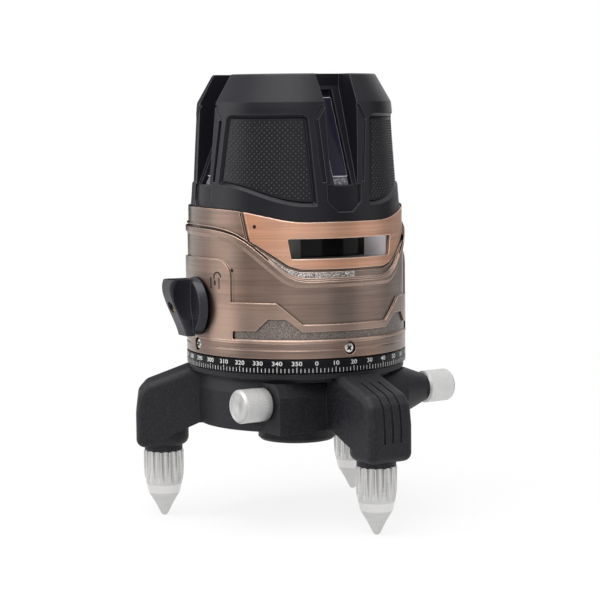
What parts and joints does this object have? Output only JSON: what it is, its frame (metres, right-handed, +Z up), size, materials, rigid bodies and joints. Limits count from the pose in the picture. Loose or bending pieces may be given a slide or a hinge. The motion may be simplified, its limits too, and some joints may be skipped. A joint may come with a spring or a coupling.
{
  "type": "line laser level",
  "caption": "Upright line laser level: copper-coloured head with a black slotted cap and a lock knob, on a degree ring and a legged levelling base with fine-adjust knobs.",
  "frame": {"origin": "centre of the flat tripod face under the hub, at the mouth of the tripod thread", "axes": "+Z up along the axis that the head turns on, -Y towards the head's front window, +X to the right as the front is seen; the lock knob is on the -X side"},
  "size_m": [0.1386, 0.1257, 0.201],
  "materials": {
    "black_casting": "matte",
    "brass": "satin",
    "copper": "satin",
    "black_ring": "satin",
    "steel": "satin",
    "turned_aluminium": "satin",
    "friction_pad": "matte",
    "cast_aluminium": "matte",
    "copper_shell": "satin",
    "copper_shield": "satin",
    "grey_plastic": "matte",
    "dark_glass": "polished",
    "black_plastic": "matte",
    "black_rubber": "matte",
    "panel_film": "satin",
    "circuit_board": "satin",
    "vial": "gloss",
    "battery": "satin",
    "copper_door": "satin"
  },
  "bodies": {
    "base": {"base_casting": "black_casting", "tripod_bush": "brass", "spindle_bush": "brass", "foot_inserts": "brass", "worm_bushes": "brass"},
    "dial": {"dial_ring": "black_ring"},
    "worm": {"worm_shaft": "steel", "fine_knob_left": "turned_aluminium", "fine_knob_right": "turned_aluminium"},
    "wheel": {"worm_wheel": "brass", "clutch_washer": "friction_pad"},
    "head": {"turntable": "cast_aluminium", "spindle_nut": "steel", "main_housing": "copper_shell", "housing_screws": "steel", "window_bezel": "copper_shield", "window_liner": "grey_plastic", "front_window": "dark_glass", "top_cap": "black_plastic", "grip_pad_front_left": "black_rubber", "grip_pad_front_right": "black_rubber", "grip_pad_rear_left": "black_rubber", "grip_pad_rear_right": "black_rubber", "line_window_front": "dark_glass", "line_window_right": "dark_glass", "line_window_rear": "dark_glass", "line_window_left": "dark_glass", "keypad_panel": "panel_film", "keypad_board": "circuit_board", "bubble_vial": "vial", "gimbal_frame": "cast_aluminium", "damper_magnets": "steel", "main_board": "circuit_board", "battery_pack": "battery", "lock_bush": "brass"},
    "battery_cover": {"battery_door": "copper_door"},
    "lock": {"lock_knob": "black_plastic", "lock_knob_screw": "brass", "lock_shaft": "steel"},
    "button_left": {"button_left": "black_rubber"},
    "button_middle": {"button_middle": "black_rubber"},
    "button_right": {"button_right": "black_rubber"},
    "gimbal": {"gimbal_ring": "cast_aluminium", "gimbal_pins": "steel"},
    "pendulum": {"pendulum_frame": "brass", "pendulum_pins": "steel", "horizontal_laser": "brass", "vertical_laser_front": "brass", "vertical_laser_right": "brass", "vertical_laser_rear": "brass", "vertical_laser_left": "brass", "plumb_laser": "brass", "damper_disc": "copper", "trim_screws": "steel"},
    "stud_1": {"foot_stud_1": "steel"},
    "foot_1": {"foot_1": "turned_aluminium"},
    "stud_2": {"foot_stud_2": "steel"},
    "foot_2": {"foot_2": "turned_aluminium"},
    "stud_3": {"foot_stud_3": "steel"},
    "foot_3": {"foot_3": "turned_aluminium"}
  },
  "joints": [
    {"name": "dial_turn", "type": "hinge", "parent": "base", "child": "dial", "pos_m": [0, 0, 0.0392], "axis": [0, 0, 1], "continuous": true},
    {"name": "worm_turn", "type": "hinge", "parent": "base", "child": "worm", "pos_m": [0.00308, -0.02934, 0.0224], "axis": [0.9945, 0.1045, 0], "continuous": true},
    {"name": "wheel_turn", "type": "hinge", "parent": "base", "child": "wheel", "pos_m": [0, 0, 0.0224], "axis": [0, 0, 1], "continuous": true},
    {"name": "head_turn", "type": "hinge", "parent": "wheel", "child": "head", "pos_m": [0, 0, 0.0263], "axis": [0, 0, 1], "continuous": true},
    {"name": "battery_door_lift", "type": "slide", "parent": "head", "child": "battery_cover", "axis": [0, 1, 0], "range_m": [0, 0.015]},
    {"name": "lock_turn", "type": "hinge", "parent": "head", "child": "lock", "pos_m": [-0.0544, 0, 0.0638], "axis": [1, 0, 0], "range_deg": [0, 90]},
    {"name": "button_left_press", "type": "slide", "parent": "head", "child": "button_left", "axis": [0, 0, -1], "range_m": [0, 0.0008], "stiffness_N_per_m": 1200},
    {"name": "button_middle_press", "type": "slide", "parent": "head", "child": "button_middle", "axis": [0, 0, -1], "range_m": [0, 0.0008], "stiffness_N_per_m": 1200},
    {"name": "button_right_press", "type": "slide", "parent": "head", "child": "button_right", "axis": [0, 0, -1], "range_m": [0, 0.0008], "stiffness_N_per_m": 1200},
    {"name": "gimbal_swing", "type": "hinge", "parent": "head", "child": "gimbal", "pos_m": [0, 0, 0.1435], "axis": [1, 0, 0], "range_deg": [-3.5, 3.5]},
    {"name": "pendulum_swing", "type": "hinge", "parent": "gimbal", "child": "pendulum", "pos_m": [0, 0, 0.1435], "axis": [0, 1, 0], "range_deg": [-3.5, 3.5]},
    {"name": "foot_1_travel", "type": "slide", "parent": "base", "child": "stud_1", "axis": [0, 0, -1], "range_m": [0, 0.008]},
    {"name": "foot_1_turn", "type": "hinge", "parent": "stud_1", "child": "foot_1", "pos_m": [0.00643, -0.06116, -0.0195], "axis": [0, 0, -1], "range_deg": [0, 1921]},
    {"name": "foot_2_travel", "type": "slide", "parent": "base", "child": "stud_2", "axis": [0, 0, -1], "range_m": [0, 0.008]},
    {"name": "foot_2_turn", "type": "hinge", "parent": "stud_2", "child": "foot_2", "pos_m": [0.04976, 0.03615, -0.0195], "axis": [0, 0, -1], "range_deg": [0, 1921]},
    {"name": "foot_3_travel", "type": "slide", "parent": "base", "child": "stud_3", "axis": [0, 0, -1], "range_m": [0, 0.008]},
    {"name": "foot_3_turn", "type": "hinge", "parent": "stud_3", "child": "foot_3", "pos_m": [-0.05618, 0.02501, -0.0195], "axis": [0, 0, -1], "range_deg": [0, 1921]}
  ],
  "couplings": [
    {"joint": "worm_turn", "follows": "wheel_turn", "ratio": 60},
    {"joint": "foot_1_turn", "follows": "foot_1_travel", "rad_per_m": 4188.8},
    {"joint": "foot_2_turn", "follows": "foot_2_travel", "rad_per_m": 4188.8},
    {"joint": "foot_3_turn", "follows": "foot_3_travel", "rad_per_m": 4188.8}
  ]
}
